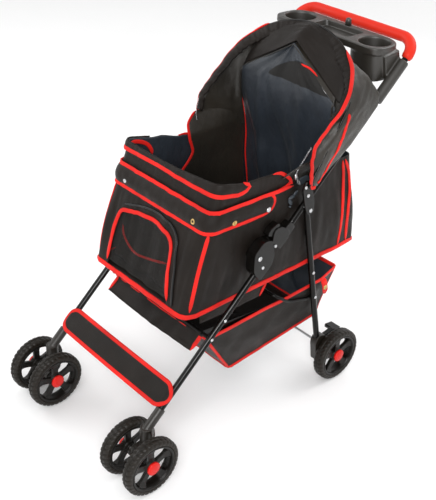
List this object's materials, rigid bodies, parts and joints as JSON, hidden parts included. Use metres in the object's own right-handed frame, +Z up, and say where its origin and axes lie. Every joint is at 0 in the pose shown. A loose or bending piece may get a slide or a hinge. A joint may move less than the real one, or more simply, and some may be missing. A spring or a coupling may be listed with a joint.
{
  "type": "pet stroller",
  "caption": "Folding pet stroller: tube frame with fold locks, twin front casters, cloth cabin with mesh front and hooped hood, basket, foot band and cup tray.",
  "frame": {"origin": "centre of the footprint on the floor", "axes": "+Z up, front casters toward -Y, +X across the stroller"},
  "size_m": [0.5266, 0.951, 0.9525],
  "materials": {
    "black_tube": "gloss black paint",
    "steel": "zinc plated",
    "black_plastic": "satin moulded",
    "tyre": "moulded tread",
    "red_plastic": "smooth",
    "red_foam": "soft foam",
    "cloth": "woven polyester with red piping",
    "mesh": "open net"
  },
  "bodies": {
    "front_frame": {"front_leg_left": "black_tube", "front_leg_right": "black_tube", "front_cross_rod": "black_tube", "fold_housing_left": "black_plastic", "fold_housing_right": "black_plastic", "fold_pin_left": "steel", "fold_pin_right": "steel", "caster_socket_left": "black_plastic", "caster_socket_right": "black_plastic", "cabin": "cloth", "floor_pad": "cloth", "basket": "cloth", "foot_band": "cloth"},
    "handle_frame": {"handle_tube": "black_tube", "foam_grip": "red_foam", "tray": "black_plastic", "tray_knob": "black_plastic", "fold_sleeve_left": "black_plastic", "fold_sleeve_right": "black_plastic", "leg_bracket_left": "black_plastic", "leg_bracket_right": "black_plastic", "leg_pin_left": "steel", "leg_pin_right": "steel", "canopy": "cloth"},
    "rear_frame": {"rear_leg_left": "black_tube", "rear_leg_right": "black_tube", "axle_bracket_left": "black_plastic", "axle_bracket_right": "black_plastic", "rear_axle": "steel"},
    "side_links": {"side_link_left": "black_tube", "side_link_right": "black_tube", "link_cross_bar": "black_tube"},
    "canopy_bow": {"canopy_hoop": "black_tube"},
    "front_door": {"mesh_door": "mesh"},
    "latch_left": {"lock_latch_left": "black_plastic"},
    "brake_left": {"brake_pedal_left": "black_plastic"},
    "caster_left": {"caster_fork_left": "black_plastic", "caster_axle_left": "steel"},
    "caster_wheel_left_outer": {"caster_left_outer_tyre": "tyre", "caster_left_outer_rim": "black_plastic", "caster_left_outer_cap": "red_plastic"},
    "caster_wheel_left_inner": {"caster_left_inner_tyre": "tyre", "caster_left_inner_rim": "black_plastic", "caster_left_inner_cap": "red_plastic"},
    "rear_wheel_left": {"rear_left_tyre": "tyre", "rear_left_rim": "black_plastic", "rear_left_cap": "red_plastic"},
    "latch_right": {"lock_latch_right": "black_plastic"},
    "brake_right": {"brake_pedal_right": "black_plastic"},
    "caster_right": {"caster_fork_right": "black_plastic", "caster_axle_right": "steel"},
    "caster_wheel_right_outer": {"caster_right_outer_tyre": "tyre", "caster_right_outer_rim": "black_plastic", "caster_right_outer_cap": "red_plastic"},
    "caster_wheel_right_inner": {"caster_right_inner_tyre": "tyre", "caster_right_inner_rim": "black_plastic", "caster_right_inner_cap": "red_plastic"},
    "rear_wheel_right": {"rear_right_tyre": "tyre", "rear_right_rim": "black_plastic", "rear_right_cap": "red_plastic"}
  },
  "joints": [
    {"name": "fold", "type": "hinge", "parent": "front_frame", "child": "handle_frame", "pos_m": [0, -0.0612, 0.5032], "axis": [1, 0, 0], "range_deg": [0, 150], "deforming": ["cabin", "floor_pad", "basket", "canopy"]},
    {"name": "rear_leg_hinge", "type": "hinge", "parent": "handle_frame", "child": "rear_frame", "pos_m": [0, 0.1147, 0.57], "axis": [1, 0, 0], "range_deg": [-54, 0]},
    {"name": "side_link_hinge", "type": "hinge", "parent": "front_frame", "child": "side_links", "pos_m": [0, -0.1928, 0.324], "axis": [1, 0, 0], "range_deg": [0, 54]},
    {"name": "canopy_swing", "type": "hinge", "parent": "handle_frame", "child": "canopy_bow", "pos_m": [0, 0.0952, 0.638], "axis": [1, 0, 0], "range_deg": [0, 35]},
    {"name": "door_hinge", "type": "hinge", "parent": "front_frame", "child": "front_door", "pos_m": [0, -0.2482, 0.4016], "axis": [1, 0, 0], "range_deg": [0, 120]},
    {"name": "latch_slide_left", "type": "slide", "parent": "handle_frame", "child": "latch_left", "axis": [0, 0.7207, 0.6932], "range_m": [0, 0.01], "stiffness_N_per_m": 400, "springref_m": -0.004},
    {"name": "brake_press_left", "type": "hinge", "parent": "rear_frame", "child": "brake_left", "pos_m": [0.178, 0.2502, 0.104], "axis": [-1, 0, 0], "range_deg": [0, 20]},
    {"name": "caster_swivel_left", "type": "hinge", "parent": "front_frame", "child": "caster_left", "pos_m": [0.202, -0.3778, 0.11], "axis": [0, 0, 1], "continuous": true},
    {"name": "caster_spin_left_outer", "type": "hinge", "parent": "caster_left", "child": "caster_wheel_left_outer", "pos_m": [0.2463, -0.3995, 0.076], "axis": [1, 0, 0], "continuous": true},
    {"name": "caster_spin_left_inner", "type": "hinge", "parent": "caster_left", "child": "caster_wheel_left_inner", "pos_m": [0.1577, -0.3995, 0.076], "axis": [1, 0, 0], "continuous": true},
    {"name": "rear_spin_left", "type": "hinge", "parent": "rear_frame", "child": "rear_wheel_left", "pos_m": [0.22, 0.2702, 0.076], "axis": [1, 0, 0], "continuous": true},
    {"name": "latch_slide_right", "type": "slide", "parent": "handle_frame", "child": "latch_right", "axis": [0, 0.7207, 0.6932], "range_m": [0, 0.01], "stiffness_N_per_m": 400, "springref_m": -0.004},
    {"name": "brake_press_right", "type": "hinge", "parent": "rear_frame", "child": "brake_right", "pos_m": [-0.178, 0.2502, 0.104], "axis": [-1, 0, 0], "range_deg": [0, 20]},
    {"name": "caster_swivel_right", "type": "hinge", "parent": "front_frame", "child": "caster_right", "pos_m": [-0.202, -0.3778, 0.11], "axis": [0, 0, 1], "continuous": true},
    {"name": "caster_spin_right_outer", "type": "hinge", "parent": "caster_right", "child": "caster_wheel_right_outer", "pos_m": [-0.2463, -0.3995, 0.076], "axis": [1, 0, 0], "continuous": true},
    {"name": "caster_spin_right_inner", "type": "hinge", "parent": "caster_right", "child": "caster_wheel_right_inner", "pos_m": [-0.1577, -0.3995, 0.076], "axis": [1, 0, 0], "continuous": true},
    {"name": "rear_spin_right", "type": "hinge", "parent": "rear_frame", "child": "rear_wheel_right", "pos_m": [-0.22, 0.2702, 0.076], "axis": [1, 0, 0], "continuous": true}
  ],
  "couplings": [
    {"joint": "rear_leg_hinge", "follows": "fold", "ratio": -0.36},
    {"joint": "side_link_hinge", "follows": "fold", "ratio": 0.36}
  ]
}
